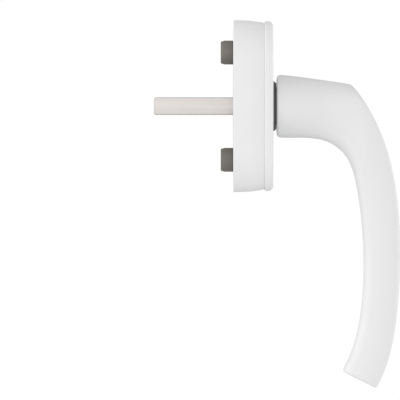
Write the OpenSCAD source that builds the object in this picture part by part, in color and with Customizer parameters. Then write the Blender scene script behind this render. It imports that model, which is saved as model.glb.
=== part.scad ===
// Tilt and turn window handle with a rose, a square spindle and a detent.
// The origin is the spindle axis on the rose's back plane. The room is at -Y,
// the window at +Y, and the grip hangs down along -Z.
// Sub-parts are drawn lying on their back: x to the right, y up and z out
// into the room, and room() then stands them up.

/* [Rose] */
// Width of the rose at its back
rose_w = 31.3; // [30.6:0.1:33]
// Height of the rose at its back
rose_h = 68.9; // [68:0.1:74]
// Depth of the housing, from the sash to the cover
housing_d = 12.5; // [12.5:0.1:12.8]
// Depth of the cover cap
cover_d = 3.5; // [3.3:0.1:3.6]
// How much narrower the housing is at its front, on each side
housing_crown = 1.1; // [0.4:0.1:1.3]
// Wall thickness of the mouldings
wall = 1.6; // [1.2:0.1:1.7]

/* [Fixing] */
// Distance between the two fixing screws
screw_pitch = 43; // [42.6:0.1:43.4]
// Clearance hole for an M5 fixing screw
screw_hole = 5.3; // [5.2:0.1:5.5]
// Diameter of a support lug
lug_dia = 9.6; // [9.4:0.1:10]
// How far a lug stands out behind the rose
lug_len = 5; // [4:0.5:8]

/* [Spindle] */
// Width of the square spindle across its flats
spindle_w = 7; // [6.5:0.5:7]
// How far the spindle stands out behind the rose
spindle_len = 31.8; // [25:0.1:55]

/* [Lever] */
// Diameter of the neck at the rose
neck_dia = 25.6; // [25:0.1:26.4]
// Width of the grip where it leaves the neck
grip_w_top = 20.6; // [20:0.1:22]
// Width of the grip at its end
grip_w_end = 18.3; // [16:0.1:20]

/* [Motion] */
// Lift of the cover before it is turned aside
cover_lift = 1.2; // [1:0.05:1.2]
// Radial running clearance of a shaft in its bush
run_gap = 0.05; // [0.03:0.01:0.08]

/* [Hidden] */
$fn = 64;

// Finishes
white_coat = "#ebecec";
white_plastic = "#e7e8e8";
zinc = "#706c67";
dark_plastic = "#4a4a4c";
steel = "#c9c6c2";
spring_steel = "#8d9094";
overcut = 1;

// Rose
rose_r = rose_w / 2;
arc_y = (rose_h - rose_w) / 2;
crown_power = 2.6;
crown_steps = 10;
foot_r = 0.3;
front_wall = 2;
cavity_r = rose_r - housing_crown - wall + 0.2;
cavity_d = housing_d - front_wall;
cover_z = housing_d + 0.05;
rose_front = housing_d + cover_d;
cover_r = rose_r - 0.4;
cover_edge_r = 2;
cover_foot_r = 0.4;
cover_wall = 1.4;

// Mounting plate and its fixings
plate_t = 3;
plate_r = cavity_r - 0.1;
post_r = 5.3;
post_top = cavity_d - 0.1;
seat_r = 4.7;
seat_z = 7;
head_hole_r = 5;
lug_bevel = 1.5;
lug_tip_r = lug_dia / 2 - 0.45;
lug_shank_r = 4.4;
fit_gap = 0.02;
lug_lead_r = lug_dia / 2 + 2 * fit_gap;
tap_y = 29.3;
boss_r = 2.3;
tap_r = 1.1;
tap_clear_r = 1.5;
tap_head_r = 2.6;
tap_head_t = 1.4;
tap_len = 8;
tap_recess = 0.1;

// Drive line, from the back to the front
sleeve_back = 0.2;
groove_z = 0.45;
groove_w = 0.85;
groove_r = 5.1;
ring_t = 0.75;
ring_outer_r = 6.9;
ring_recess_r = 9;
ring_recess_d = 1.4;
rear_journal_r = 5.6;
rear_bush_r = 7.2;
rear_flange_r = 8.5;
rear_flange_z = 3.5;
dish_t = 0.35;
dish_h = 0.75;
dish_r = 8.2;
cam_z = 4.4;
cam_t = 3.45;
cam_w = 15;
cam_corner_r = 2;
cam_seat_r = 6.5;
cam_flat = 5.9;
washer_z = cam_z + cam_t + 0.05;
washer_t = 0.55;
washer_r = 9.5;
journal_r = 7.5;
journal_z = washer_z + washer_t;
bush_flange_z = journal_z + 0.05;
bush_flange_r = 11.5;
bush_r = 10.25;
bush_nose_r = 9.3;
bush_nose_z = rose_front + cover_lift;
neck_z = bush_nose_z + 0.15;
socket_z = 30;
pin_z = 24;
pin_r = 1.25;
square_gap = 0.05;
spindle_front = 29;
spindle_bevel = 0.8;

// Detent springs
leaf_t = 0.5;
leaf_w = 3.2;
leaf_z = 4.6;
leaf_half = 15;
leaf_bow_r = 80;
leaf_x = cam_w / 2 + 0.05;
peg_top = 8.2;
outer_peg = [10.75, 14, 1.3];
inner_peg = [7.85, 14.6, 0.85];

// Cover ring
guide_r = bush_r + run_gap;
guide_outer_r = 12.5;
guide_t = 1.9;
cap_hole_r = bush_r + 0.1;
cap_collar_r = 13.5;

// Lever outline seen from its side, as [depth, height] points of curves.
// The neck's two edges are straight, and the curves join on end to end.
neck_r = neck_dia / 2;
neck_back_edge = 0.9;
neck_top = [[neck_z, neck_r], [30, 11.35], [47.2, 8.85]];
neck_under = [[neck_z, -neck_r], [30, -12.6]];
front_upper = [[47.2, 8.85], [62.3, -8.8], [66.75, -30.3], [66.75, -57.2]];
front_lower = [[66.75, -57.2], [66.75, -77.4], [65.4, -100.1], [57.4, -112.7]];
back_bend = [[30, -12.6], [40.4, -12.6], [46.7, -19.2], [48.5, -27.4]];
back_upper = [[48.5, -27.4], [50.5, -36.3], [52.2, -50], [52.2, -62]];
back_lower = [[52.2, -62], [52.2, -83], [49.7, -96.1], [43.6, -106.1]];

// Lever stations: rings from the neck to the end of the grip
ring_points = 40;
neck_rings = 3;
arch_rings = 9;
crest_rings = 6;
upper_rings = 9;
lower_rings = 12;
crest_share = 0.42;
tip_inset = 0.6;

function mix(a, b, t) = a + (b - a) * t;
function ease(t) = let (c = min(1, max(0, t))) c * c * (3 - 2 * c);
function curve(p, t) = pow(1 - t, 3) * p[0] + 3 * pow(1 - t, 2) * t * p[1]
    + 3 * (1 - t) * t * t * p[2] + pow(t, 3) * p[3];
function power(base, exponent) = sign(base) * pow(abs(base), exponent);

// Each station is [point behind, point in front, half width, squareness]
function neck_station(t) = [
    mix(neck_under[0], neck_under[1], t), mix(neck_top[0], neck_top[1], t),
    mix(neck_r, (neck_top[1].y - neck_under[1].y) / 2, t), 2];
function arch_station(t) = [
    curve(back_bend, t * crest_share), mix(neck_top[1], neck_top[2], t),
    mix((neck_top[1].y - neck_under[1].y) / 2, grip_w_top / 2, ease(t)), 2];
function crest_station(t) = [
    curve(back_bend, mix(crest_share, 1, t)), curve(front_upper, t * 0.42),
    grip_w_top / 2, mix(2, 5, ease(t * 2))];
function grip_width(height) = mix(grip_w_top, grip_w_end, ease(-height / 95)) / 2;
function upper_station(t) = let (front = curve(front_upper, mix(0.42, 1, t)))
    [curve(back_upper, t), front, grip_width(front.y - 5), 5];
function lower_station(t) = let (front = curve(front_lower, t))
    [curve(back_lower, t), front, grip_width(front.y - 5), 5];

// A ring of points: rounded behind and squarer in front
function ring(station) = let (
    middle = (station[0] + station[1]) / 2,
    reach = (station[1] - station[0]) / 2)
    [for (i = [0 : ring_points - 1]) let (
        a = 360 * i / ring_points,
        front = cos(a) > 0 ? station[3] : mix(2, station[3], 0.25),
        side = power(sin(a), 2 / front) * station[2],
        along = power(cos(a), 2 / front),
        place = middle + reach * along)
        [side, place.y, place.x]];

// The same ring drawn in towards its middle, to break a sharp end edge
function shrunk(points, inset) = let (
    centre = [0, (points[0].y + points[ring_points / 2].y) / 2,
        (points[0].z + points[ring_points / 2].z) / 2])
    [for (p = points) p - (p - centre) * inset / norm(p - centre)];

lever_stations = concat(
    [for (i = [0 : neck_rings - 1]) neck_station(i / neck_rings)],
    [for (i = [0 : arch_rings - 1]) arch_station(i / arch_rings)],
    [for (i = [0 : crest_rings - 1]) crest_station(i / crest_rings)],
    [for (i = [0 : upper_rings - 1]) upper_station(i / upper_rings)],
    [for (i = [0 : lower_rings]) lower_station(i / lower_rings)]);
neck_edge_ring = [for (p = ring(neck_station(0))) p + [0, 0, neck_back_edge]];
lever_rings = concat([shrunk(ring(lever_stations[0]), neck_back_edge), neck_edge_ring],
    [for (i = [1 : len(lever_stations) - 1]) ring(lever_stations[i])]);

// Stands a part drawn on its back up against the window
module room() {
    rotate([90, 0, 0])
        children();
}

// A stadium-shaped solid whose edge follows a profile of [radius, z] points
module stadium(profile, reach) {
    for (s = [-1, 1])
        translate([0, s * reach, 0])
            rotate_extrude()
                polygon(profile);
    mirrored = [for (i = [len(profile) - 1 : -1 : 0]) [-profile[i].x, profile[i].y]];
    rotate([90, 0, 0])
        linear_extrude(2 * reach, center = true)
            polygon(concat(profile, mirrored));
}

// A straight-sided stadium from z0 to z1
module stadium_block(radius, reach, z0, z1) {
    stadium([[0, z0], [radius, z0], [radius, z1], [0, z1]], reach);
}

// A tube or, with no bore, a disc from z0 to z1
module tube(outer_r, bore_r, z0, z1) {
    difference() {
        translate([0, 0, z0])
            cylinder(r = outer_r, h = z1 - z0);
        if (bore_r > 0)
            translate([0, 0, z0 - overcut])
                cylinder(r = bore_r, h = z1 - z0 + 2 * overcut);
    }
}

// A square bar along z with its edges along x and y
module square_bar(width, z0, z1) {
    translate([-width / 2, -width / 2, z0])
        cube([width, width, z1 - z0]);
}

module rose_housing() {
    crown = [for (i = [0 : crown_steps]) let (share = i / crown_steps)
        [rose_r - housing_crown * pow(share, crown_power), mix(foot_r, housing_d, share)]];
    color(white_plastic)
        room()
            difference() {
                union() {
                    difference() {
                        stadium(concat([[0, 0], [rose_r - foot_r, 0]], crown, [[0, housing_d]]), arc_y);
                        stadium_block(cavity_r, arc_y, -overcut, cavity_d);
                    }
                    for (s = [-1, 1])
                        translate([0, s * tap_y, plate_t + 0.05])
                            cylinder(r = boss_r, h = cavity_d - plate_t);
                }
                for (s = [-1, 1]) {
                    translate([0, s * screw_pitch / 2, cavity_d - overcut])
                        cylinder(r = head_hole_r, h = front_wall + 2 * overcut);
                    translate([0, s * tap_y, 0])
                        cylinder(r = tap_r, h = tap_len + 1);
                }
                translate([0, 0, cavity_d - overcut])
                    cylinder(r = bush_r + fit_gap, h = front_wall + 2 * overcut);
            }
}

module mounting_plate() {
    color(zinc)
        room()
            difference() {
                union() {
                    stadium_block(plate_r, arc_y, 0, plate_t);
                    for (s = [-1, 1]) {
                        translate([0, s * screw_pitch / 2, plate_t - 0.5])
                            cylinder(r = post_r, h = post_top - plate_t + 0.5);
                        for (t = [-1, 1], peg = [outer_peg, inner_peg])
                            translate([t * peg[0], s * peg[1], plate_t - 0.5])
                                cylinder(r = peg[2], h = peg_top - plate_t + 0.5);
                    }
                }
                translate([0, 0, -overcut])
                    cylinder(r = ring_recess_r, h = ring_recess_d + overcut);
                translate([0, 0, -overcut])
                    cylinder(r = rear_bush_r, h = plate_t + 2 * overcut);
                for (s = [-1, 1]) {
                    translate([0, s * screw_pitch / 2, -overcut])
                        cylinder(r = screw_hole / 2, h = housing_d);
                    translate([0, s * screw_pitch / 2, -overcut])
                        cylinder(r = lug_shank_r + fit_gap, h = plate_t + overcut);
                    translate([0, s * screw_pitch / 2, -overcut])
                        cylinder(r1 = lug_lead_r + overcut, r2 = lug_shank_r,
                            h = overcut + lug_lead_r - lug_shank_r);
                    translate([0, s * screw_pitch / 2, seat_z])
                        cylinder(r = seat_r, h = housing_d);
                    translate([0, s * tap_y, -overcut])
                        cylinder(r = tap_clear_r, h = plate_t + 2 * overcut);
                    translate([0, s * tap_y, -overcut])
                        cylinder(r = tap_head_r, h = overcut + tap_recess + tap_head_t);
                }
            }
}

module lug(side) {
    body = lug_dia / 2;
    color(zinc)
        room()
            translate([0, side * screw_pitch / 2, 0])
                rotate_extrude()
                    polygon([[screw_hole / 2, -lug_len], [lug_tip_r, -lug_len],
                        [body, lug_bevel - lug_len], [body, 0], [lug_shank_r, 0],
                        [lug_shank_r, plate_t], [screw_hole / 2, plate_t]]);
}

module lug_top() lug(1);
module lug_bottom() lug(-1);

module bearing_bush() {
    bore = journal_r + run_gap;
    color(dark_plastic)
        room()
            rotate_extrude()
                polygon([[bore, bush_flange_z], [bush_flange_r, bush_flange_z],
                    [bush_flange_r, cavity_d], [bush_r, cavity_d], [bush_r, rose_front],
                    [bush_nose_r, bush_nose_z], [bore, bush_nose_z]]);
}

module rear_bush() {
    bore = rear_journal_r + run_gap;
    color(dark_plastic)
        room()
            rotate_extrude()
                polygon([[bore, ring_recess_d], [rear_bush_r, ring_recess_d],
                    [rear_bush_r, plate_t], [rear_flange_r, plate_t],
                    [rear_flange_r, rear_flange_z], [bore, rear_flange_z]]);
}

module detent_spring(side) {
    color(spring_steel)
        room()
            intersection() {
                translate([side * (leaf_x + leaf_bow_r), 0, leaf_z])
                    tube(leaf_bow_r, leaf_bow_r - leaf_t, 0, leaf_w);
                translate([side > 0 ? 0 : -leaf_half, -leaf_half, 0])
                    cube([leaf_half, 2 * leaf_half, housing_d]);
            }
}

module detent_spring_left() detent_spring(-1);
module detent_spring_right() detent_spring(1);

module housing_screw(side) {
    head_top = tap_recess + tap_head_t;
    slot_w = 0.8;
    slot_d = 0.7;
    color(steel)
        room()
            translate([0, side * tap_y, 0])
                difference() {
                    rotate_extrude()
                        polygon([[0, tap_recess], [tap_head_r - 0.3, tap_recess],
                            [tap_head_r - 0.1, head_top], [tap_r, head_top],
                            [tap_r, tap_len - 1], [0, tap_len]]);
                    for (turn = [0, 90])
                        rotate([0, 0, turn])
                            translate([-slot_w / 2, -tap_head_r * 0.6, -overcut])
                                cube([slot_w, tap_head_r * 1.2, overcut + tap_recess + slot_d]);
                }
}

module housing_screw_top() housing_screw(1);
module housing_screw_bottom() housing_screw(-1);

module cover_ring() {
    ring_front = rose_front - cover_wall - 0.05;
    color(dark_plastic)
        room()
            tube(guide_outer_r, guide_r, ring_front - guide_t, ring_front);
}

module cover_cap() {
    edge_steps = 6;
    rounded = [for (i = [0 : edge_steps]) let (a = 90 * i / edge_steps)
        [cover_r - cover_edge_r * (1 - cos(a)), rose_front - cover_edge_r * (1 - sin(a))]];
    inner_r = cover_r - wall;
    color(white_plastic)
        room()
            difference() {
                union() {
                    difference() {
                        stadium(concat([[0, cover_z], [cover_r - cover_foot_r, cover_z],
                            [cover_r, cover_z + cover_foot_r]], rounded, [[0, rose_front]]), arc_y);
                        stadium_block(inner_r, arc_y, 0, rose_front - cover_wall);
                    }
                    tube(cap_collar_r, guide_outer_r + run_gap, cover_z + 0.1, rose_front - 1);
                }
                cylinder(r = cap_hole_r, h = rose_front + overcut);
            }
}

module lever() {
    count = len(lever_rings);
    tip = shrunk(lever_rings[count - 1], tip_inset);
    drop = (lever_rings[count - 1][0] - lever_rings[count - 2][0]);
    end_ring = [for (p = tip) p + drop / norm(drop) * tip_inset];
    rings = concat(lever_rings, [end_ring]);
    last = len(rings) - 1;
    sides = [for (r = [0 : last - 1], i = [0 : ring_points - 1]) let (n = (i + 1) % ring_points)
        each [[r * ring_points + i, r * ring_points + n, (r + 1) * ring_points + n],
            [r * ring_points + i, (r + 1) * ring_points + n, (r + 1) * ring_points + i]]];
    caps = [[for (i = [ring_points - 1 : -1 : 0]) i],
        [for (i = [0 : ring_points - 1]) last * ring_points + i]];
    color(white_coat)
        room()
            difference() {
                polyhedron([for (r = rings) each r], concat(sides, caps));
                translate([0, 0, neck_z - overcut])
                    cylinder(r = journal_r, h = socket_z - neck_z + overcut);
            }
}

// Cross-section of the sleeve and of the cam's hole where the cam sits
module cam_seat() {
    intersection() {
        circle(r = cam_seat_r);
        square([2 * cam_seat_r, 2 * cam_flat], center = true);
    }
}

module drive_sleeve() {
    hole_w = spindle_w + 2 * square_gap;
    seat_top = cam_z + cam_t;
    color(steel)
        room()
            difference() {
                union() {
                    tube(rear_journal_r, 0, sleeve_back, groove_z);
                    tube(groove_r, 0, groove_z, groove_z + groove_w);
                    tube(rear_journal_r, 0, groove_z + groove_w, cam_z);
                    translate([0, 0, cam_z])
                        linear_extrude(seat_top - cam_z)
                            cam_seat();
                    tube(cam_seat_r, 0, seat_top, journal_z);
                    tube(journal_r, 0, journal_z, socket_z);
                }
                square_bar(hole_w, sleeve_back - overcut, spindle_front + 0.2);
                translate([0, 0, pin_z])
                    rotate([0, 90, 0])
                        cylinder(r = pin_r, h = 2 * journal_r + 2, center = true);
            }
}

module spindle() {
    length = spindle_len + spindle_front;
    corner = spindle_w / sqrt(2);
    color(steel)
        room()
            difference() {
                intersection() {
                    square_bar(spindle_w, -spindle_len, spindle_front);
                    rotate_extrude()
                        polygon([[0, -spindle_len], [corner - spindle_bevel, -spindle_len],
                            [corner + 0.1, spindle_bevel + 0.1 - spindle_len],
                            [corner + 0.1, length - spindle_len], [0, length - spindle_len]]);
                }
                translate([0, 0, pin_z])
                    rotate([0, 90, 0])
                        cylinder(r = pin_r, h = spindle_w + 2, center = true);
            }
}

module spindle_pin() {
    color(spring_steel)
        room()
            translate([0, 0, pin_z])
                rotate([0, 90, 0])
                    cylinder(r = pin_r, h = 2 * journal_r - 0.4, center = true);
}

module detent_cam() {
    half = cam_w / 2;
    inner = half - cam_corner_r;
    color(steel)
        room()
            translate([0, 0, cam_z])
                linear_extrude(cam_t)
                    difference() {
                        union() {
                            square([cam_w, 2 * inner], center = true);
                            square([2 * inner, cam_w], center = true);
                            for (x = [-inner, inner], y = [-inner, inner])
                                translate([x, y])
                                    circle(r = cam_corner_r);
                        }
                        cam_seat();
                    }
}

module thrust_washer() {
    color(dark_plastic)
        room()
            tube(washer_r, cam_seat_r + 0.1, washer_z, washer_z + washer_t);
}

module disc_spring() {
    inner = rear_journal_r + 0.15;
    bottom = rear_flange_z + 0.05;
    color(spring_steel)
        room()
            rotate_extrude()
                polygon([[inner, bottom + dish_h - dish_t], [dish_r, bottom],
                    [dish_r, bottom + dish_t], [inner, bottom + dish_h]]);
}

module retaining_ring() {
    gap_w = 3.4;
    color(spring_steel)
        room()
            difference() {
                union() {
                    tube(ring_outer_r, groove_r + 0.05, groove_z + 0.05, groove_z + 0.05 + ring_t);
                    for (s = [-1, 1])
                        translate([s * 2.6, -ring_outer_r - 0.1, groove_z + 0.05])
                            cylinder(r = 1.3, h = ring_t);
                }
                translate([-gap_w / 2, -2 * ring_outer_r, 0])
                    cube([gap_w, 2 * ring_outer_r, ring_recess_d]);
                for (s = [-1, 1])
                    translate([s * 2.6, -ring_outer_r - 0.1, 0])
                        cylinder(r = 0.6, h = ring_recess_d);
            }
}

rose_housing();
mounting_plate();
lug_top();
lug_bottom();
bearing_bush();
rear_bush();
detent_spring_left();
detent_spring_right();
housing_screw_top();
housing_screw_bottom();
cover_ring();
cover_cap();
lever();
drive_sleeve();
spindle();
spindle_pin();
detent_cam();
thrust_washer();
disc_spring();
retaining_ring();
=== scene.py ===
"""Looks of a tilt and turn window handle, built round its packed design.

The lever, the rose, its cover, the bush, the lugs and the spindle are modelled
here over the design's own pieces. The small parts inside keep the design's
meshes and get a finish. Sizes are in metres, the room is at -Y, the window at
+Y and the grip hangs along -Z.
"""

import logging
import math
from dataclasses import dataclass, field
from enum import Enum
from typing import Callable, ClassVar, Sequence

import bmesh
import bpy
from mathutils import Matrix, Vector


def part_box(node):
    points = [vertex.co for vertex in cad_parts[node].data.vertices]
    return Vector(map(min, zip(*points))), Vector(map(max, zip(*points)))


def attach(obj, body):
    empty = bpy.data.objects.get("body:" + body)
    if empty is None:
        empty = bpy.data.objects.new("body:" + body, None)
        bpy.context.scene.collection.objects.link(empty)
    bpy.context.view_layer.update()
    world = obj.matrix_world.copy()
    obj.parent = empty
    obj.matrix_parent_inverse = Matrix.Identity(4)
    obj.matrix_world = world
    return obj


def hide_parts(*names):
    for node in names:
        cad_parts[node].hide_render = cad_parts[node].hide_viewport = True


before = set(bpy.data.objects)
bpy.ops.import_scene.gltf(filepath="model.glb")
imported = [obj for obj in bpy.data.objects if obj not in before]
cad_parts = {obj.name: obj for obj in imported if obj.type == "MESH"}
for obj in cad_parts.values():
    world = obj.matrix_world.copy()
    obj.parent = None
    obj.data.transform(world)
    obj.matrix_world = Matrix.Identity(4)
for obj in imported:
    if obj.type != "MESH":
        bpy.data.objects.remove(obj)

log = logging.getLogger("handle")
MM = 0.001
ORIGIN = (0.0, 0.0, 0.0)
ROUND_STEPS = 96


# ---------------------------------------------------------------- hand tools

class Element(Enum):
    """What an edit-mode selection picks."""

    VERT = "VERT"
    EDGE = "EDGE"
    FACE = "FACE"


class Bench:
    """One mesh held in edit mode, worked with the modelling operators."""

    def __init__(self, name: str) -> None:
        """Takes the object that was just added and opens it.

        Args:
            name: the piece's name.
        """
        self.obj: bpy.types.Object = bpy.context.object
        self.obj.name = name
        self.obj.data.name = name
        self.open()

    @staticmethod
    def clear() -> None:
        """Leaves edit mode and deselects every object."""
        if bpy.context.object and bpy.context.object.mode != "OBJECT":
            bpy.ops.object.mode_set(mode="OBJECT")
        bpy.ops.object.select_all(action="DESELECT")

    @classmethod
    def take(cls, piece: bpy.types.Object) -> None:
        """Selects one piece alone in object mode.

        Args:
            piece: the piece that the next operators act on.
        """
        cls.clear()
        piece.select_set(True)
        bpy.context.view_layer.objects.active = piece

    @classmethod
    def point(cls, name: str, place: Vector) -> "Bench":
        """Starts a piece from a small plane drawn together to one point.

        Args:
            name: the piece's name.
            place: where the point lies.

        Returns:
            The open piece, its one point selected.
        """
        cls.clear()
        bpy.ops.mesh.primitive_plane_add(size=MM, location=ORIGIN)
        bench = cls(name)
        bpy.ops.mesh.merge(type="CENTER")
        bpy.ops.transform.translate(value=place)
        return bench

    @classmethod
    def ring(cls, name: str, corners: int, radius: float, depth: float) -> "Bench":
        """Starts a piece from an open circle that faces the room.

        Args:
            name: the piece's name.
            corners: how many points the circle has.
            radius: its radius.
            depth: its distance in front of the window.

        Returns:
            The open piece, its circle selected.
        """
        cls.clear()
        bpy.ops.mesh.primitive_circle_add(
            vertices=corners, radius=radius, location=(0, -depth, 0),
            rotation=(math.pi / 2, 0, 0))
        bpy.ops.object.transform_apply(location=True, rotation=True, scale=True)
        return cls(name)

    @property
    def mesh(self) -> bmesh.types.BMesh:
        """The mesh as it stands in edit mode.

        Returns:
            The edit mesh, its points ready to be looked up by index.
        """
        shape = bmesh.from_edit_mesh(self.obj.data)
        shape.verts.ensure_lookup_table()
        return shape

    def open(self) -> None:
        """Opens the piece alone in edit mode, all of it selected."""
        self.take(self.obj)
        bpy.ops.object.mode_set(mode="EDIT")
        bpy.ops.mesh.select_mode(type="VERT")
        bpy.ops.mesh.select_all(action="SELECT")

    def select(self, element: Element, test: Callable[[object], bool]) -> int:
        """Selects the elements that a test accepts, and nothing else.

        Args:
            element: what is selected.
            test: says whether an element is wanted.

        Returns:
            How many elements are selected.
        """
        bpy.ops.mesh.select_mode(type=element.value)
        bpy.ops.mesh.select_all(action="DESELECT")
        shape = self.mesh
        pools = {Element.VERT: shape.verts, Element.EDGE: shape.edges, Element.FACE: shape.faces}
        count = 0
        for item in pools[element]:
            if test(item):
                item.select = True
                count += 1
        shape.select_flush_mode()
        bmesh.update_edit_mesh(self.obj.data)
        return count

    def nearest(self, place: Vector) -> int:
        """Returns the index of the point closest to a place."""
        return min(self.mesh.verts, key=lambda v: (v.co - place).length_squared).index

    def pick(self, places: Sequence[Vector]) -> None:
        """Selects the points that lie at the given places."""
        wanted = {self.nearest(place) for place in places}
        self.select(Element.VERT, lambda v: v.index in wanted)

    def shift(self, index: int, offset: Vector) -> None:
        """Moves one point by an offset."""
        self.select(Element.VERT, lambda v: v.index == index)
        bpy.ops.transform.translate(value=offset)

    def extend(self, old: Sequence[Vector], new: Sequence[Vector]) -> None:
        """Extrudes a chain of points and sets each new point in its place.

        Args:
            old: the chain as it lies.
            new: where each point's copy goes.
        """
        self.pick(old)
        bpy.ops.mesh.extrude_region_move(TRANSFORM_OT_translate={"value": ORIGIN})
        moves: list[tuple[int, Vector]] = []
        for vert in self.mesh.verts:
            if vert.select:
                match = min(range(len(old)), key=lambda i: (vert.co - old[i]).length_squared)
                moves.append((vert.index, new[match] - old[match]))
        for index, offset in moves:
            self.shift(index, offset)

    def draw(self, places: Sequence[Vector], closed: bool) -> None:
        """Draws a line of points on from the selected first point.

        Args:
            places: every point of the line, the first one already drawn.
            closed: whether the last point joins the first.
        """
        for start, end in zip(places, places[1:]):
            bpy.ops.mesh.extrude_vertices_move(TRANSFORM_OT_translate={"value": end - start})
        if closed:
            self.pick([places[0], places[-1]])
            bpy.ops.mesh.edge_face_add()

    def soften(self, width: float, segments: int, angle: float = 30.0) -> None:
        """Bevels every edge that turns more sharply than an angle.

        Args:
            width: the bevel's width.
            segments: its number of steps.
            angle: the least turn in degrees.
        """
        limit = math.radians(angle)
        self.select(Element.EDGE, lambda e: e.is_manifold and e.calc_face_angle(0.0) > limit)
        bpy.ops.mesh.bevel(offset=width, segments=segments, profile=0.5, clamp_overlap=True)

    def mend(self) -> None:
        """Merges doubled points and turns every face outwards."""
        bpy.ops.mesh.select_mode(type="VERT")
        bpy.ops.mesh.select_all(action="SELECT")
        bpy.ops.mesh.remove_doubles(threshold=0.002 * MM)
        bpy.ops.mesh.select_all(action="SELECT")
        bpy.ops.mesh.normals_make_consistent(inside=False)

    def close(self, angle: float = 32.0) -> bpy.types.Object:
        """Leaves edit mode and smooths the shading of soft turns.

        Args:
            angle: turns above this many degrees stay crisp.

        Returns:
            The finished piece.
        """
        self.mend()
        bpy.ops.object.mode_set(mode="OBJECT")
        bpy.ops.object.shade_smooth_by_angle(angle=math.radians(angle))
        return self.obj


def apply_modifier(piece: bpy.types.Object, modifier: bpy.types.Modifier) -> None:
    """Applies one modifier of a piece in object mode.

    Args:
        piece: the piece that carries the modifier.
        modifier: the modifier to apply.
    """
    Bench.take(piece)
    bpy.ops.object.modifier_apply(modifier=modifier.name)


def drill(piece: bpy.types.Object, centre: Vector, radius: float, length: float) -> None:
    """Cuts a round hole along Y through a piece.

    Args:
        piece: what is drilled.
        centre: the middle of the cut.
        radius: the hole's radius.
        length: how long the cut is.
    """
    Bench.clear()
    bpy.ops.mesh.primitive_cylinder_add(
        vertices=ROUND_STEPS, radius=radius, depth=length, location=centre,
        rotation=(math.pi / 2, 0, 0))
    tool = bpy.context.object
    cut = piece.modifiers.new("drill", "BOOLEAN")
    cut.operation = "DIFFERENCE"
    cut.solver = "EXACT"
    cut.object = tool
    apply_modifier(piece, cut)
    bpy.data.objects.remove(tool, do_unlink=True)


def turned(name: str, profile: Sequence[tuple[float, float]], centre: Vector,
           steps: int = ROUND_STEPS, edge: float = 0.0) -> bpy.types.Object:
    """Turns a closed outline about an axis along Y.

    Args:
        name: the piece's name.
        profile: corners of the outline as radius and depth.
        centre: a point on the axis.
        steps: faces round the piece.
        edge: width of the broken edges.

    Returns:
        The finished piece.
    """
    places = [centre + Vector((r, -d, 0)) for r, d in profile]
    bench = Bench.point(name, places[0])
    bench.draw(places, closed=True)
    bpy.ops.mesh.select_all(action="SELECT")
    bpy.ops.mesh.spin(steps=steps, angle=2 * math.pi, center=centre, axis=(0, 1, 0))
    bench.mend()
    if edge:
        bench.soften(edge, segments=3)
    return bench.close()


def stadium(name: str, profile: Sequence[tuple[float, float]], reach: float,
            steps: int = 48) -> Bench:
    """Sweeps an open outline round a stadium: arc, straight, arc, straight.

    Args:
        name: the piece's name.
        profile: corners of the outline as radius and depth, centre line to centre line.
        reach: height of the upper arc's centre.
        steps: faces round each arc.

    Returns:
        The open piece, its seams closed.
    """
    upper = Vector((0, 0, reach))
    places = [upper + Vector((r, -d, 0)) for r, d in profile]
    bench = Bench.point(name, places[0])
    bench.draw(places, closed=False)
    bpy.ops.mesh.select_all(action="SELECT")
    for centre, side in ((upper, -1), (-upper, 1)):
        bpy.ops.mesh.spin(steps=steps, angle=math.pi, center=centre, axis=(0, 1, 0))
        bpy.ops.mesh.extrude_region_move(
            TRANSFORM_OT_translate={"value": (0, 0, side * 2 * reach)})
    bench.mend()
    return bench


# ------------------------------------------------------------------ finishes

NOISE_LOW = 0.3
NOISE_HIGH = 0.7
CLOUD_SCALE = 45.0
STAIN_SCALE = 120.0

GroupStart = tuple[bpy.types.NodeTree, bpy.types.Node, bpy.types.Node, bpy.types.NodeSocket]


def new_group(name: str, inputs: dict[str, float], outputs: Sequence[str]) -> GroupStart:
    """Starts a shader group that works on object coordinates.

    Args:
        name: the group's name.
        inputs: the number sockets and their first values.
        outputs: the number sockets that come out.

    Returns:
        The group, its inlet, its outlet and a coordinate socket.
    """
    group = bpy.data.node_groups.new(name, "ShaderNodeTree")
    for label, value in inputs.items():
        socket = group.interface.new_socket(label, in_out="INPUT", socket_type="NodeSocketFloat")
        socket.default_value = value
    for label in outputs:
        group.interface.new_socket(label, in_out="OUTPUT", socket_type="NodeSocketFloat")
    inlet = group.nodes.new("NodeGroupInput")
    outlet = group.nodes.new("NodeGroupOutput")
    coords = group.nodes.new("ShaderNodeTexCoord")
    return group, inlet, outlet, coords.outputs["Object"]


def noise_node(tree: bpy.types.NodeTree, detail: float, roughness: float) -> bpy.types.Node:
    """Adds a noise texture with fixed detail to a node tree.

    Args:
        tree: the tree that gets the node.
        detail: how many finer layers the noise has.
        roughness: how strong the finer layers are.

    Returns:
        The noise node.
    """
    node = tree.nodes.new("ShaderNodeTexNoise")
    node.inputs["Detail"].default_value = detail
    node.inputs["Roughness"].default_value = roughness
    return node


def math_node(tree: bpy.types.NodeTree, operation: str, value: float = 0.5) -> bpy.types.Node:
    """Adds a math node whose second input starts at a value.

    Args:
        tree: the tree that gets the node.
        operation: what the node works out.
        value: its second input while nothing is wired to it.

    Returns:
        The math node.
    """
    node = tree.nodes.new("ShaderNodeMath")
    node.operation = operation
    node.inputs[1].default_value = value
    return node


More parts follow.
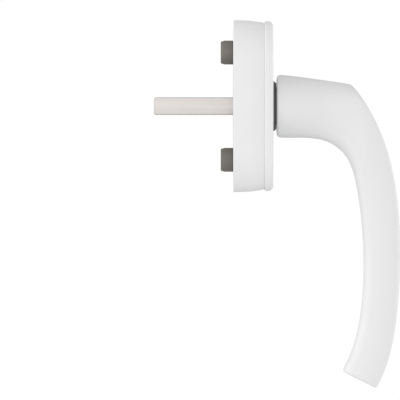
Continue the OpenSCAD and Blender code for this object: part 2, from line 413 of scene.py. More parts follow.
def build_skin_group() -> bpy.types.NodeTree:
    """Builds the group for a sprayed or moulded skin: ripple, grain and cloud.

    Returns:
        The group. Height is the relief, Cloud a slow change over the surface.
    """
    group, inlet, outlet, coords = new_group(
        "skin_relief", {"Ripple Scale": 500.0, "Grain Scale": 4000.0, "Grain Share": 0.3},
        ("Height", "Cloud"))
    link = group.links.new
    ripple = noise_node(group, detail=2.0, roughness=0.5)
    grain = noise_node(group, detail=3.0, roughness=0.6)
    cloud = noise_node(group, detail=3.0, roughness=0.55)
    cloud.inputs["Scale"].default_value = CLOUD_SCALE
    blend = group.nodes.new("ShaderNodeMix")
    for node in (ripple, grain, cloud):
        link(coords, node.inputs["Vector"])
    link(inlet.outputs["Ripple Scale"], ripple.inputs["Scale"])
    link(inlet.outputs["Grain Scale"], grain.inputs["Scale"])
    link(inlet.outputs["Grain Share"], blend.inputs["Factor"])
    link(ripple.outputs["Fac"], blend.inputs["A"])
    link(grain.outputs["Fac"], blend.inputs["B"])
    link(blend.outputs["Result"], outlet.inputs["Height"])
    link(cloud.outputs["Fac"], outlet.inputs["Cloud"])
    return group


def build_line_group() -> bpy.types.NodeTree:
    """Builds the group for drawn or machined lines that run along one axis.

    Returns:
        The group. Lines is the fine streaks, Stain a slow change in tone.
    """
    group, inlet, outlet, coords = new_group(
        "tool_lines", {"Along X": 1.0, "Along Y": 1.0, "Along Z": 1.0, "Scale": 900.0},
        ("Lines", "Stain"))
    link = group.links.new
    stretch = group.nodes.new("ShaderNodeCombineXYZ")
    product = group.nodes.new("ShaderNodeVectorMath")
    product.operation = "MULTIPLY"
    lines = noise_node(group, detail=4.0, roughness=0.7)
    stain = noise_node(group, detail=3.0, roughness=0.5)
    stain.inputs["Scale"].default_value = STAIN_SCALE
    for axis in "XYZ":
        link(inlet.outputs[f"Along {axis}"], stretch.inputs[axis])
    link(coords, product.inputs[0])
    link(stretch.outputs["Vector"], product.inputs[1])
    link(product.outputs["Vector"], lines.inputs["Vector"])
    link(inlet.outputs["Scale"], lines.inputs["Scale"])
    link(coords, stain.inputs["Vector"])
    link(lines.outputs["Fac"], outlet.inputs["Lines"])
    link(stain.outputs["Fac"], outlet.inputs["Stain"])
    return group


class Effects:
    """The shader groups that several finishes share, each built once."""

    def __init__(self) -> None:
        """Builds every group."""
        self.skin: bpy.types.NodeTree = build_skin_group()
        self.lines: bpy.types.NodeTree = build_line_group()


@dataclass(frozen=True)
class Finish:
    """What every finish has: a name, a colour, its shade and its gloss."""

    name: str
    colour: tuple[float, float, float]
    shade: tuple[float, float, float]
    rough_low: float
    rough_high: float
    relief: float

    def _base(self) -> tuple[bpy.types.Material, bpy.types.Node]:
        """Starts the material.

        Returns:
            The new material and its shader node.
        """
        material = bpy.data.materials.new(self.name)
        material.use_nodes = True
        return material, material.node_tree.nodes["Principled BSDF"]

    def _dress(self, tree: bpy.types.NodeTree, shader: bpy.types.Node, tone: bpy.types.NodeSocket,
               gloss: bpy.types.NodeSocket, height: bpy.types.NodeSocket) -> None:
        """Wires colour, roughness and relief to a shader.

        Args:
            tree: the material's node tree.
            shader: its Principled BSDF.
            tone: the mask between the colour and its shade.
            gloss: the mask between the two roughness values.
            height: the relief's height.
        """
        link = tree.links.new
        colours = tree.nodes.new("ShaderNodeMix")
        colours.data_type = "RGBA"
        colours.inputs["A"].default_value = (*self.colour, 1.0)
        colours.inputs["B"].default_value = (*self.shade, 1.0)
        link(tone, colours.inputs["Factor"])
        link(colours.outputs["Result"], shader.inputs["Base Color"])
        rough = tree.nodes.new("ShaderNodeMapRange")
        rough.inputs["From Min"].default_value = NOISE_LOW
        rough.inputs["From Max"].default_value = NOISE_HIGH
        rough.inputs["To Min"].default_value = self.rough_low
        rough.inputs["To Max"].default_value = self.rough_high
        link(gloss, rough.inputs["Value"])
        link(rough.outputs["Result"], shader.inputs["Roughness"])
        bump = tree.nodes.new("ShaderNodeBump")
        bump.inputs["Strength"].default_value = 1.0
        bump.inputs["Distance"].default_value = self.relief
        link(height, bump.inputs["Height"])
        link(bump.outputs["Normal"], shader.inputs["Normal"])


@dataclass(frozen=True)
class SkinFinish(Finish):
    """A sprayed coat or a moulded plastic: colour from within, a soft gloss."""

    ripple: float = 500.0
    grain: float = 4000.0
    grain_share: float = 0.3
    metallic: float = 0.0

    def build(self, effects: Effects) -> bpy.types.Material:
        """Makes the material.

        Args:
            effects: the shared shader groups.

        Returns:
            The finished material.
        """
        material, shader = self._base()
        tree = material.node_tree
        shader.inputs["Metallic"].default_value = self.metallic
        skin = tree.nodes.new("ShaderNodeGroup")
        skin.node_tree = effects.skin
        skin.inputs["Ripple Scale"].default_value = self.ripple
        skin.inputs["Grain Scale"].default_value = self.grain
        skin.inputs["Grain Share"].default_value = self.grain_share
        self._dress(tree, shader, skin.outputs["Cloud"], skin.outputs["Cloud"],
                    skin.outputs["Height"])
        return material


@dataclass(frozen=True)
class MetalFinish(Finish):
    """A bare or plated metal with fine lines along one axis."""

    along: tuple[float, float, float] = (1.0, 1.0, 1.0)
    scale: float = 900.0

    def build(self, effects: Effects) -> bpy.types.Material:
        """Makes the material.

        Args:
            effects: the shared shader groups.

        Returns:
            The finished material.
        """
        material, shader = self._base()
        tree = material.node_tree
        shader.inputs["Metallic"].default_value = 1.0
        lines = tree.nodes.new("ShaderNodeGroup")
        lines.node_tree = effects.lines
        lines.inputs["Scale"].default_value = self.scale
        for axis, value in zip("XYZ", self.along):
            lines.inputs[f"Along {axis}"].default_value = value
        self._dress(tree, shader, lines.outputs["Stain"], lines.outputs["Lines"],
                    lines.outputs["Lines"])
        return material


class Coat(Enum):
    """The finishes of this handle, named as the design's material slots."""

    WHITE_COAT = SkinFinish("white_coat", (0.82, 0.82, 0.82), (0.805, 0.806, 0.806),
                            0.34, 0.42, 0.012 * MM, ripple=420.0, grain=2600.0, grain_share=0.25)
    WHITE_PLASTIC = SkinFinish("white_plastic", (0.865, 0.865, 0.865), (0.85, 0.851, 0.851),
                               0.42, 0.5, 0.008 * MM, ripple=900.0, grain=5200.0, grain_share=0.7)
    DARK_PLASTIC = SkinFinish("dark_plastic", (0.2, 0.2, 0.203), (0.17, 0.17, 0.173),
                              0.45, 0.58, 0.01 * MM, ripple=900.0, grain=5200.0, grain_share=0.6)
    DARK_ZINC = SkinFinish("dark_zinc", (0.2, 0.182, 0.161), (0.175, 0.16, 0.143),
                           0.42, 0.6, 0.02 * MM, ripple=700.0, grain=3200.0, grain_share=0.5,
                           metallic=0.1)
    ZINC = SkinFinish("zinc", (0.46, 0.46, 0.47), (0.36, 0.36, 0.37),
                      0.36, 0.55, 0.025 * MM, ripple=520.0, grain=2600.0, grain_share=0.5,
                      metallic=0.85)
    STEEL = MetalFinish("steel", (0.66, 0.65, 0.64), (0.58, 0.57, 0.57),
                        0.26, 0.42, 0.006 * MM, along=(0.25, 4.0, 0.25), scale=700.0)
    SPINDLE_STEEL = MetalFinish("spindle_steel", (0.65, 0.618, 0.603), (0.633, 0.603, 0.589),
                                0.41, 0.49, 0.006 * MM, along=(3.0, 0.08, 3.0), scale=500.0)
    SPRING_STEEL = MetalFinish("spring_steel", (0.34, 0.35, 0.37), (0.26, 0.27, 0.3),
                               0.28, 0.45, 0.006 * MM, along=(2.0, 2.0, 0.1), scale=600.0)


class Paintshop:
    """Makes each finish once and puts it on pieces."""

    def __init__(self) -> None:
        """Builds the shared groups and every finish."""
        effects = Effects()
        self.materials: dict[Coat, bpy.types.Material] = {
            coat: coat.value.build(effects) for coat in Coat}

    def dress(self, piece: bpy.types.Object, coat: Coat) -> None:
        """Gives a piece one finish all over."""
        piece.data.materials.clear()
        piece.data.materials.append(self.materials[coat])


@dataclass
class SubAssembly:
    """What every sub-assembly has: the paintshop and the frame's body."""

    paint: Paintshop
    body: str = "rose"

    def fit(self, piece: bpy.types.Object, coat: Coat, *nodes: str) -> None:
        """Dresses a new piece and sets it in the place of design nodes.

        Args:
            piece: the finished piece.
            coat: its finish.
            nodes: the design nodes that it stands for.
        """
        self.paint.dress(piece, coat)
        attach(piece, self.body)
        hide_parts(*nodes)
        log.info("%s: %d faces, %s", piece.name, len(piece.data.polygons), coat.value.name)

    def carry_over(self, coats: dict[str, Coat]) -> None:
        """Gives design nodes that stay in view their finish.

        Args:
            coats: the finish of each node.
        """
        for node, coat in coats.items():
            self.paint.dress(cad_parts[node], coat)
            log.info("%s: design mesh, %s", node, coat.value.name)


# --------------------------------------------------------------------- lever

class Outline:
    """A smooth line in the side view, walked by its length."""

    STEPS: ClassVar[int] = 60

    def __init__(self, curves: Sequence[Sequence[tuple[float, float]]]) -> None:
        """Samples cubic curves that join end to end.

        Args:
            curves: four control points each, as depth and height.
        """
        self.points: list[Vector] = []
        for curve in curves:
            a, b, c, d = (Vector(p) for p in curve)
            for step in range(self.STEPS):
                t = step / self.STEPS
                s = 1 - t
                self.points.append(a * s ** 3 + 3 * b * s * s * t + 3 * c * s * t * t + d * t ** 3)
        self.points.append(Vector(curves[-1][-1]))
        self.lengths: list[float] = [0.0]
        for start, end in zip(self.points, self.points[1:]):
            self.lengths.append(self.lengths[-1] + (end - start).length)

    def at_length(self, length: float) -> Vector:
        """Finds the point that lies a length along the line.

        Args:
            length: how far along the line, from its start.

        Returns:
            The point as depth and height.
        """
        for i in range(1, len(self.points)):
            if length <= self.lengths[i]:
                span = self.lengths[i] - self.lengths[i - 1]
                share = (length - self.lengths[i - 1]) / span
                return self.points[i - 1].lerp(self.points[i], share)
        return self.points[-1]

    def length_at_height(self, height: float) -> float:
        """Finds the length at which the line falls to a height.

        Args:
            height: the height that is looked for.

        Returns:
            The length from the line's start, or the whole length.
        """
        for i in range(1, len(self.points)):
            if self.points[i].y <= height:
                drop = self.points[i - 1].y - self.points[i].y
                share = (self.points[i - 1].y - height) / drop
                return self.lengths[i - 1] + share * (self.lengths[i] - self.lengths[i - 1])
        return self.lengths[-1]

    def at_height(self, height: float) -> Vector:
        """Returns the point at which the line falls to a height."""
        return self.at_length(self.length_at_height(height))


@dataclass
class Station:
    """One ring of the lever: three points of its side view and a width."""

    top: Vector
    side: Vector
    back: Vector
    half_width: float
    squareness: float

    SQUARE_SIDE: ClassVar[tuple[float, ...]] = (1.0, 1.0, 0.93, 0.55, 0.0)
    SQUARE_DROP: ClassVar[tuple[float, ...]] = (0.0, 0.46, 0.83, 0.995, 1.0)

    def lower(self, count: int) -> list[Vector]:
        """Returns the ring's lower half, from its right side to its left.

        Args:
            count: steps in a quarter of the ring.

        Returns:
            The points, each as X, Y and Z.
        """
        square = self.squareness
        right: list[Vector] = []
        for i in range(count + 1):
            turn = math.pi / 2 * i / count
            side = math.cos(turn) * (1 - square) + self.SQUARE_SIDE[i] * square
            drop = math.sin(turn) * (1 - square) + self.SQUARE_DROP[i] * square
            place = self.side.lerp(self.back, drop)
            right.append(Vector((self.half_width * side, -place.x, place.y)))
        return right + [Vector((-p.x, p.y, p.z)) for p in reversed(right[:-1])]

    def upper(self, count: int) -> list[Vector]:
        """Returns the ring's upper half without its sides, left to right.

        Args:
            count: steps in a quarter of the ring.

        Returns:
            The points, each as X, Y and Z.
        """
        right: list[Vector] = []
        for i in range(count):
            turn = math.pi / 2 * i / count
            place = self.side.lerp(self.top, math.cos(turn))
            right.append(Vector((self.half_width * math.sin(turn), -place.x, place.y)))
        return [Vector((-p.x, p.y, p.z)) for p in reversed(right[1:])] + right


@dataclass
class Lever(SubAssembly):
    """The neck and grip: one hooked casting with a flat curved front."""

    body: str = "handle"
    quarter: int = 4
    round_fullness: float = 1.026
    neck_edge: float = 1.0 * MM
    socket_radius: float = 7.55 * MM
    socket_depth: float = 12.5 * MM
    crest: tuple[float, float] = (47.3 * MM, 8.95 * MM)
    waist: tuple[float, float] = (30.0 * MM, 11.35 * MM)
    waist_under: float = 12.6 * MM
    # Depth and half width of each neck ring.
    neck_plan: tuple[tuple[float, float], ...] = ((24.0 * MM, 12.15 * MM), (30.0 * MM, 11.3 * MM))
    # Share of the bend, depth of the side, half width and squareness of each bend ring.
    bend_plan: tuple[tuple[float, float, float, float], ...] = (
        (0.36, 37.4 * MM, 9.95 * MM, 0.12), (0.7, 45.0 * MM, 10.4 * MM, 0.35))
    bend_run: float = 20.5 * MM
    bend_lift: float = 1.02
    bend_sag: float = 0.4 * MM
    crest_squareness: float = 0.65
    grip_rings: int = 13
    lobe_half_width: float = 10.35 * MM
    grip_top_half: float = 9.65 * MM
    grip_end_half: float = 9.15 * MM
    lobe_flare: float = 0.9 * MM
    lobe_fade: float = 20.0 * MM
    front_cuts: int = 3
    end_borders: tuple[float, ...] = (1.6 * MM, 2.4 * MM)
    edge_width: float = 2.0 * MM
    lobe_weight: float = 0.2
    end_weight: float = 0.5
    smoothing: int = 3

    def __post_init__(self) -> None:
        """Takes the outer sizes from the design's own lever."""
        low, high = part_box("lever")
        self.neck_depth: float = -high[1]
        self.neck_radius: float = high[2]
        self.reach: float = -low[1]
        self.drop: float = low[2]
        middle = -57.2 * MM
        self.front = Outline([
            [self.crest, (62.3 * MM, -8.8 * MM), (self.reach, -30.3 * MM), (self.reach, middle)],
            [(self.reach, middle), (self.reach, -77.4 * MM), (65.4 * MM, -100.1 * MM),
             (57.4 * MM, self.drop)]])
        hollow = (52.2 * MM, -62 * MM)
        elbow = (48.5 * MM, -27.4 * MM)
        self.back = Outline([
            [(30 * MM, -12.6 * MM), (40.4 * MM, -12.6 * MM), (46.7 * MM, -19.2 * MM), elbow],
            [elbow, (50.5 * MM, -36.3 * MM), (hollow[0], -50 * MM), hollow],
            [hollow, (hollow[0], -83 * MM), (49.7 * MM, -96.1 * MM), (43.6 * MM, -106.1 * MM)]])

    def neck_stations(self) -> list[Station]:
        """Plans the full rings of the neck.

        Returns:
            The rings, from the rose to the crest.
        """
        rings: list[Station] = []
        full = self.neck_radius * self.round_fullness
        for depth, radius in ((self.neck_depth, full - self.neck_edge),
                              (self.neck_depth + self.neck_edge, full)):
            rings.append(Station(Vector((depth, radius)), Vector((depth, 0)),
                                 Vector((depth, -radius)), radius, 0.0))
        waist = Vector(self.waist)
        crest = Vector(self.crest)
        for depth, half in self.neck_plan:
            share = (depth - self.neck_depth) / (waist.x - self.neck_depth)
            height = self.neck_radius + (waist.y - self.neck_radius) * share
            under = self.neck_radius + (self.waist_under - self.neck_radius) * share
            rings.append(Station(
                Vector((depth, height * self.round_fullness)), Vector((depth, 0)),
                Vector((depth, -under * self.round_fullness)), half, 0.0))
        for share, depth, half, squareness in self.bend_plan:
            top = waist.lerp(crest, share)
            top.y *= self.bend_lift
            rings.append(Station(top, Vector((depth, -self.bend_sag)),
                                 self.back.at_length(share * self.bend_run), half, squareness))
        rings.append(Station(crest, self.front.at_height(0.0),
                             self.back.at_length(self.bend_run),
                             self.lobe_half_width, self.crest_squareness))
        return rings

    def arch(self, station: Station) -> list[Vector]:
        """Drops the crest ring's upper half on to the curved front.

        Args:
            station: the crest ring.

        Returns:
            Its upper points, left to right.
        """
        places = station.upper(self.quarter)
        for place in places:
            place.y = -self.front.at_height(place.z).x
        return places

    def half_width(self, height: float) -> float:
        """Works out the grip's half width, which flares towards the lobe.

        Args:
            height: a height of the front face.

        Returns:
            The half width there.
        """
        share = min(1.0, height / self.drop)
        flare = self.lobe_flare * max(0.0, 1 + height / self.lobe_fade) ** 2
        return self.grip_top_half + (self.grip_end_half - self.grip_top_half) * share + flare

    def grip_stations(self) -> list[Station]:
        """Plans the rings of the grip, evenly along both of its edges.

        Returns:
            The rings, from below the crest to the end.
        """
        front_from = self.front.length_at_height(0.0)
        front_run = self.front.lengths[-1] - front_from
        back_run = self.back.lengths[-1] - self.bend_run
        rings: list[Station] = []
        for k in range(1, self.grip_rings + 1):
            share = k / self.grip_rings
            front = self.front.at_length(front_from + share * front_run)
            back = self.back.at_length(self.bend_run + share * back_run)
            rings.append(Station(front, front, back, self.half_width(front.y), 1.0))
        return rings

    def build(self) -> None:
        """Builds the lever and fits it."""
        q = self.quarter
        *necks, crest = self.neck_stations()
        arch = self.arch(crest)
        rings = [station.upper(q) + station.lower(q) for station in necks]
        rings.append(arch + crest.lower(q))
        halves = [station.lower(q) for station in (crest, *self.grip_stations())]
        bench = Bench.ring("lever_casting", 4 * q, necks[0].half_width, self.neck_depth)
        for chain in (rings, halves):
            for old, new in zip(chain, chain[1:]):
                bench.extend(old, new)
        self.face_front(bench, arch, halves)
        self.close_end(bench, halves[-1])
        self.sink_socket(bench, rings[0])
        self.round_edges(bench, arch, halves)
        piece = bench.close(angle=80.0)
        self.ease_edges(piece)
        self.smooth_skin(piece)
        Bench.take(piece)
        bpy.ops.object.shade_smooth()
        self.fit(piece, Coat.WHITE_COAT, "lever")

    def across(self, start: Vector, end: Vector) -> list[Vector]:
        """Returns the points that the front's cuts leave between two places."""
        parts = self.front_cuts + 1
        return [start.lerp(end, step / parts) for step in range(1, parts)]

    def face_front(self, bench: Bench, arch: list[Vector], halves: list[list[Vector]]) -> None:
        """Closes the flat front between the grip's two long edges.

        Args:
            bench: the open lever.
            arch: the crest ring's upper points, left to right.
            halves: the lower half rings from the crest to the end.
        """
        shoulder = self.quarter // 2
        left = arch[:shoulder][::-1] + [half[-1] for half in halves]
        right = arch[-shoulder:] + [half[0] for half in halves]
        bench.pick(left + right)
        bpy.ops.mesh.bridge_edge_loops(number_cuts=self.front_cuts, interpolation="LINEAR")
        for place, risen in zip(self.across(left[0], right[0]), arch[shoulder:]):
            bench.shift(bench.nearest(place), risen - place)
        bench.mend()

    def close_end(self, bench: Bench, last: list[Vector]) -> None:
        """Closes the end of the grip and frames it with a narrow border.

        Args:
            bench: the open lever.
            last: the last half ring, right to left.
        """
        bench.pick(last + self.across(last[0], last[-1]))
        bpy.ops.mesh.edge_face_add()
        for border in self.end_borders:
            bpy.ops.mesh.inset(thickness=border)

    def sink_socket(self, bench: Bench, first: list[Vector]) -> None:
        """Sinks the socket for the drive sleeve into the back of the neck.

        Args:
            bench: the open lever.
            first: the ring at the back of the neck.
        """
        mouth = self.socket_radius * self.round_fullness
        plan = ((mouth + 1.2 * MM, 0.0), (mouth + 0.15 * MM, 0.0), (mouth, 0.3 * MM),
                (mouth, self.socket_depth - 1.5 * MM), (mouth, self.socket_depth))
        old = first
        for radius, sink in plan:
            new = [Vector((p.x, 0, p.z)).normalized() * radius for p in first]
            new = [Vector((p.x, -self.neck_depth - sink, p.z)) for p in new]
            bench.extend(old, new)
            old = new
        bench.pick(old)
        bpy.ops.mesh.edge_face_add()
        bpy.ops.mesh.inset(thickness=1.5 * MM)

    def round_edges(self, bench: Bench, arch: list[Vector], halves: list[list[Vector]]) -> None:
        """Weighs the edges round the front face and the end for the bevel.

        Args:
            bench: the open lever.
            arch: the crest ring's upper points, left to right.
            halves: the lower half rings from the crest to the end.
        """
        loop = ([half[0] for half in reversed(halves)] + arch[::-1]
                + [half[-1] for half in halves])
        middle = len(halves) + len(arch) // 2
        for i, (start, end) in enumerate(zip(loop, loop[1:])):
            steps_off = abs(i + 0.5 - middle)
            self.weigh(bench, [start, end], min(1.0, self.lobe_weight * (1 + steps_off)))
        last = halves[-1]
        end_loop = last + self.across(last[-1], last[0]) + [last[0]]
        for start, end in zip(end_loop, end_loop[1:]):
            self.weigh(bench, [start, end], self.end_weight)

    @staticmethod
    def weigh(bench: Bench, ends: list[Vector], weight: float) -> None:
        """Gives the edge between two places a bevel weight."""
        bench.pick(ends)
        bpy.ops.transform.edge_bevelweight(value=weight)

    def ease_edges(self, piece: bpy.types.Object) -> None:
        """Bevels the lever's edges by their weights.

        Args:
            piece: the closed lever.
        """
        bevel = piece.modifiers.new("edges", "BEVEL")
        bevel.limit_method = "WEIGHT"
        bevel.width = self.edge_width
        bevel.segments = 2
        bevel.use_clamp_overlap = False
        apply_modifier(piece, bevel)

    def smooth_skin(self, piece: bpy.types.Object) -> None:
        """Smooths the lever's skin by subdivision.

        Args:
            piece: the lever with its edges bevelled.
        """
        skin = piece.modifiers.new("skin", "SUBSURF")
        skin.levels = self.smoothing
        skin.render_levels = self.smoothing
        apply_modifier(piece, skin)


# ---------------------------------------------------------------------- rose

class LugPlace(Enum):
    """Where a support lug sits, as its side of the spindle along Z."""

    TOP = 1
    BOTTOM = -1


@dataclass
class Rose(SubAssembly):
    """The housing with its plate, lugs, bushes, springs and screws."""

    crown: float = 1.1 * MM
    crown_power: float = 2.6
    crown_steps: int = 14
    foot: float = 0.3 * MM
    wall: float = 1.6 * MM
    cavity_ease: float = 0.2 * MM
    front_wall: float = 2.0 * MM
    bore: float = 10.25 * MM
    head_hole: float = 5.0 * MM
    screw_pitch: float = 43.0 * MM
    bush_bore: float = 7.55 * MM
    bush_flange: float = 2.0 * MM
    cone_length: float = 1.2 * MM
    cone_step: float = 0.95 * MM
    lug_hole: float = 2.65 * MM
    lug_taper: float = 1.5 * MM
    lug_taper_step: float = 0.45 * MM
    shank: float = 4.4 * MM
    shank_length: float = 3.0 * MM

    def __post_init__(self) -> None:
        """Takes the outer sizes from the design's own housing."""
        low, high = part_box("rose_housing")
        self.radius: float = high[0]
        self.reach: float = high[2] - high[0]
        self.depth: float = -low[1]

    def build(self) -> None:
        """Builds every piece of the rose and fits it."""
        self.housing()
        self.bush()
        for place in LugPlace:
            self.lug(place)
        self.carry_over({
            "mounting_plate": Coat.ZINC, "rear_bush": Coat.DARK_PLASTIC,
            "detent_spring_left": Coat.SPRING_STEEL, "detent_spring_right": Coat.SPRING_STEEL,
            "housing_screw_top": Coat.STEEL, "housing_screw_bottom": Coat.STEEL})

    def housing(self) -> None:
        """Builds the crowned housing as a shell with its bore and screw holes."""
        cavity = self.radius - self.crown - self.wall + self.cavity_ease
        side = [(self.radius - self.crown * (i / self.crown_steps) ** self.crown_power,
                 self.foot + (self.depth - self.foot) * i / self.crown_steps)
                for i in range(self.crown_steps + 1)]
        profile = ([(0, self.depth - self.front_wall), (cavity, self.depth - self.front_wall),
                    (cavity, 0), (self.radius - self.foot, 0)] + side + [(0, self.depth)])
        bench = stadium("rose_body", profile, self.reach)
        piece = bench.close()
        middle = -(self.depth - self.front_wall / 2)
        length = 3 * self.front_wall
        drill(piece, Vector((0, middle, 0)), self.bore, length)
        for s in (-1, 1):
            drill(piece, Vector((0, middle, s * self.screw_pitch / 2)), self.head_hole, length)
        self.fit(piece, Coat.WHITE_PLASTIC, "rose_housing")

    def bush(self) -> None:
        """Turns the front bush with its cone."""
        low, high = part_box("bearing_bush")
        nose, flange = -low[1], -high[1]
        shoulder = flange + self.bush_flange
        profile = [(self.bush_bore, flange), (high[0], flange), (high[0], shoulder),
                   (self.bore, shoulder), (self.bore, nose - self.cone_length),
                   (self.bore - self.cone_step, nose), (self.bush_bore, nose)]
        piece = turned("front_bush", profile, Vector(ORIGIN), edge=0.12 * MM)
        self.fit(piece, Coat.DARK_PLASTIC, "bearing_bush")

    def lug(self, place: LugPlace) -> None:
        """Turns one support lug.

        Args:
            place: where the lug sits.
        """
        name = f"lug_{place.name.lower()}"
        radius, length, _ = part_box(name)[1]
        profile = [(self.lug_hole, -length), (radius - self.lug_taper_step, -length),
                   (radius, self.lug_taper - length), (radius, 0), (self.shank, 0),
                   (self.shank, self.shank_length), (self.lug_hole, self.shank_length)]
        centre = Vector((0, 0, place.value * self.screw_pitch / 2))
        piece = turned(f"{name}_sleeve", profile, centre, steps=64, edge=0.2 * MM)
        self.fit(piece, Coat.DARK_ZINC, name)


@dataclass
class Cover(SubAssembly):
    """The cover cap, which lifts and turns aside."""

    body: str = "cover"
    edge_radius: float = 2.0 * MM
    foot: float = 0.4 * MM
    wall: float = 1.6 * MM
    front_wall: float = 1.4 * MM
    hole: float = 10.35 * MM
    rim_steps: int = 10

    def __post_init__(self) -> None:
        """Takes the outer sizes from the design's own cover."""
        low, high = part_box("cover_cap")
        self.radius: float = high[0]
        self.reach: float = high[2] - high[0]
        self.front: float = -low[1]
        self.rear: float = -high[1]

    def build(self) -> None:
        """Builds the cap as a shell with a rounded rim and its bore."""
        rim: list[tuple[float, float]] = []
        for i in range(self.rim_steps + 1):
            turn = math.pi / 2 * i / self.rim_steps
            rim.append((self.radius - self.edge_radius * (1 - math.cos(turn)),
                        self.front - self.edge_radius * (1 - math.sin(turn))))
        inner = self.radius - self.wall
        inner_front = self.front - self.front_wall
        profile = ([(0, inner_front), (inner, inner_front), (inner, self.rear),
                    (self.radius - self.foot, self.rear), (self.radius, self.rear + self.foot)]
                   + rim + [(0, self.front)])
        bench = stadium("cover_shell", profile, self.reach)
        piece = bench.close()
        drill(piece, Vector((0, -self.front, 0)), self.hole, length=8 * MM)
        self.fit(piece, Coat.WHITE_PLASTIC, "cover_cap")


@dataclass
class CoverRing(SubAssembly):
    """The ring on which the cover turns."""

    body: str = "ring"

    def build(self) -> None:
        """Dresses the design's ring."""
        self.carry_over({"cover_ring": Coat.DARK_PLASTIC})


@dataclass
class DriveLine(SubAssembly):
    """The spindle and what turns with it inside the rose."""

    body: str = "handle"
    arris: float = 0.35 * MM
    nose: float = 0.5 * MM

    def build(self) -> None:
        """Builds the spindle and dresses the pieces inside."""
        self.spindle()
        self.carry_over({
            "drive_sleeve": Coat.STEEL, "spindle_pin": Coat.SPRING_STEEL,
            "detent_cam": Coat.STEEL, "thrust_washer": Coat.DARK_PLASTIC,
            "disc_spring": Coat.SPRING_STEEL, "retaining_ring": Coat.SPRING_STEEL})

    def spindle(self) -> None:
        """Builds the square bar with broken arrises and a tapered nose."""
        low, high = (Vector(corner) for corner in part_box("spindle"))
        taper = 1 - self.nose / high.x
        high.y -= self.nose
        Bench.clear()
        bpy.ops.mesh.primitive_cube_add(size=1, location=(low + high) / 2)
        bpy.context.object.scale = high - low
        bpy.ops.object.transform_apply(location=True, rotation=True, scale=True)
        bench = Bench("square_spindle")
        bench.select(Element.EDGE, lambda e: abs(e.verts[0].co.y - e.verts[1].co.y) > MM)
        bpy.ops.mesh.bevel(offset=self.arris, segments=4)
        bench.select(Element.FACE, lambda f: f.normal.y > 0.9)
        bpy.ops.mesh.extrude_region_move(TRANSFORM_OT_translate={"value": (0, self.nose, 0)})
        bpy.ops.transform.resize(value=(taper, 1, taper), center_override=(0, high.y, 0))
        self.fit(bench.close(), Coat.SPINDLE_STEEL, "spindle")


# -------------------------------------------------------------------- studio

@dataclass(frozen=True)
class Glow:
    """A soft bright region of the surround, about one direction."""

    towards: tuple[float, float, float]
    strength: float
    fades_out: float
    full: float


@dataclass(frozen=True)
class Softbox:
    """A round lamp that faces the object."""

    name: str
    place: tuple[float, float, float]
    size: float
    power: float


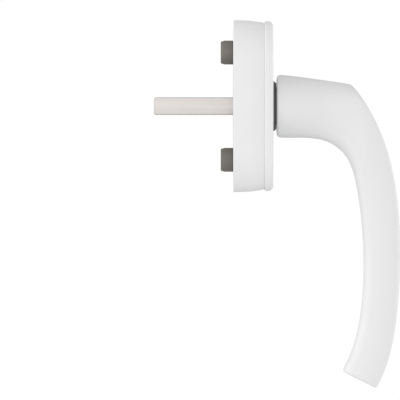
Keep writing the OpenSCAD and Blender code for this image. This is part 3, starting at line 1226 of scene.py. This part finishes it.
@dataclass
class Studio:
    """The floor, the surround, the lamps and the camera."""

    sight: Vector = field(default_factory=lambda: Vector((0, 13.3 * MM, -37.6 * MM)))
    view_width: float = 160.3 * MM
    distance: float = 3.0
    floor_height: float = -1.6
    floor_radius: float = 1.5
    floor_tone: float = 0.75
    floor_roughness: float = 0.9
    base_light: float = 0.405
    backdrop: Glow = Glow((1, 0, 0), 1.02, 0.95, 0.985)
    glows: tuple[Glow, ...] = (
        Glow((-0.45, 0.85, 0.1), 0.42, 0.0, 1.0),
        Glow((0.5, 0.85, 0.0), 0.17, 0.3, 1.0),
        Glow((-0.2, 0.75, 0.65), 0.48, 0.45, 1.0),
        Glow((-0.45, -0.85, 0.0), 0.21, 0.0, 1.0),
        Glow((0.5, -0.85, 0.0), 0.37, 0.3, 1.0),
        Glow((-1.0, 0.0, 0.0), 0.15, 0.4, 1.0))
    lamps: tuple[Softbox, ...] = (
        Softbox("side_softbox", (-1.3, 0.25, 0.05), 0.5, 1.5),
        Softbox("low_window_softbox", (-0.6, 0.9, -0.6), 0.5, 1.2),
        Softbox("room_softbox", (0.8, -1.2, 0.2), 0.5, 0.95),
        Softbox("low_room_softbox", (-0.5, -1.1, -0.7), 0.5, 1.6),
        Softbox("front_softbox", (0.0, -1.5, -0.05), 0.4, 2.5))

    def build(self) -> None:
        """Sets the whole studio up."""
        self.floor()
        self.world()
        for lamp in self.lamps:
            self.hang(lamp)
        self.camera()
        bpy.context.scene.view_settings.view_transform = "Standard"
        bpy.context.scene.view_settings.look = "None"

    def floor(self) -> None:
        """Lays a wide round pale floor well below the object."""
        Bench.clear()
        bpy.ops.mesh.primitive_circle_add(
            vertices=ROUND_STEPS, radius=self.floor_radius, fill_type="NGON",
            location=(0, 0, self.floor_height))
        bpy.ops.object.transform_apply(location=True, rotation=True, scale=True)
        floor = Bench("floor").close()
        material = bpy.data.materials.new("floor_paper")
        material.use_nodes = True
        shader = material.node_tree.nodes["Principled BSDF"]
        shader.inputs["Base Color"].default_value = (*[self.floor_tone] * 3, 1)
        shader.inputs["Roughness"].default_value = self.floor_roughness
        floor.data.materials.append(material)

    def world(self) -> None:
        """Makes the surround: an even light with its soft bright regions."""
        world = bpy.data.worlds.new("studio")
        bpy.context.scene.world = world
        world.use_nodes = True
        tree = world.node_tree
        sky = tree.nodes["Background"]
        sky.inputs["Color"].default_value = (1, 1, 1, 1)
        coords = tree.nodes.new("ShaderNodeTexCoord")
        total = math_node(tree, "ADD", self.base_light)
        tree.links.new(self.region(tree, coords, self.glows[0]), total.inputs[0])
        for glow in self.glows[1:]:
            step = math_node(tree, "ADD")
            tree.links.new(total.outputs["Value"], step.inputs[0])
            tree.links.new(self.region(tree, coords, glow), step.inputs[1])
            total = step
        peak = math_node(tree, "MAXIMUM")
        tree.links.new(total.outputs["Value"], peak.inputs[0])
        tree.links.new(self.region(tree, coords, self.backdrop), peak.inputs[1])
        tree.links.new(peak.outputs["Value"], sky.inputs["Strength"])

    @staticmethod
    def region(tree: bpy.types.NodeTree, coords: bpy.types.Node,
               glow: Glow) -> bpy.types.NodeSocket:
        """Adds one bright region to the surround.

        Args:
            tree: the world's node tree.
            coords: its coordinate node.
            glow: the region.

        Returns:
            The region's strength in each direction.
        """
        dot = tree.nodes.new("ShaderNodeVectorMath")
        dot.operation = "DOT_PRODUCT"
        dot.inputs[1].default_value = Vector(glow.towards).normalized()
        tree.links.new(coords.outputs["Generated"], dot.inputs[0])
        fade = tree.nodes.new("ShaderNodeMapRange")
        fade.interpolation_type = "SMOOTHSTEP"
        fade.inputs["From Min"].default_value = glow.fades_out
        fade.inputs["From Max"].default_value = glow.full
        fade.inputs["To Max"].default_value = glow.strength
        tree.links.new(dot.outputs["Value"], fade.inputs["Value"])
        return fade.outputs["Result"]

    @staticmethod
    def hang(box: Softbox) -> None:
        """Hangs one lamp, turned to the object.

        Args:
            box: the lamp's name, place, size and power.
        """
        lamp = bpy.data.lights.new(box.name, "AREA")
        lamp.shape = "DISK"
        lamp.size = box.size
        lamp.energy = box.power
        holder = bpy.data.objects.new(box.name, lamp)
        bpy.context.collection.objects.link(holder)
        holder.location = box.place
        holder.rotation_euler = (-Vector(box.place)).to_track_quat("-Z", "Y").to_euler()

    def camera(self) -> None:
        """Looks level at the handle's side along +X."""
        lens = bpy.data.cameras.new("camera")
        lens.sensor_width = 36.0
        lens.lens = lens.sensor_width * self.distance / self.view_width
        lens.clip_end = 20.0
        holder = bpy.data.objects.new("camera", lens)
        bpy.context.collection.objects.link(holder)
        holder.location = self.sight - Vector((self.distance, 0, 0))
        holder.rotation_euler = (math.pi / 2, 0, -math.pi / 2)
        bpy.context.scene.camera = holder


def main() -> None:
    """Builds the studio and every sub-assembly, and notes the sizes."""
    logging.basicConfig(level=logging.INFO, format="%(name)s: %(message)s")
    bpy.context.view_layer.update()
    Studio().build()
    paint = Paintshop()
    for assembly in (Lever(paint), Rose(paint), Cover(paint), CoverRing(paint), DriveLine(paint)):
        assembly.build()
        log.info("%s done", type(assembly).__name__)
    Bench.clear()


if __name__ == "__main__":
    main()
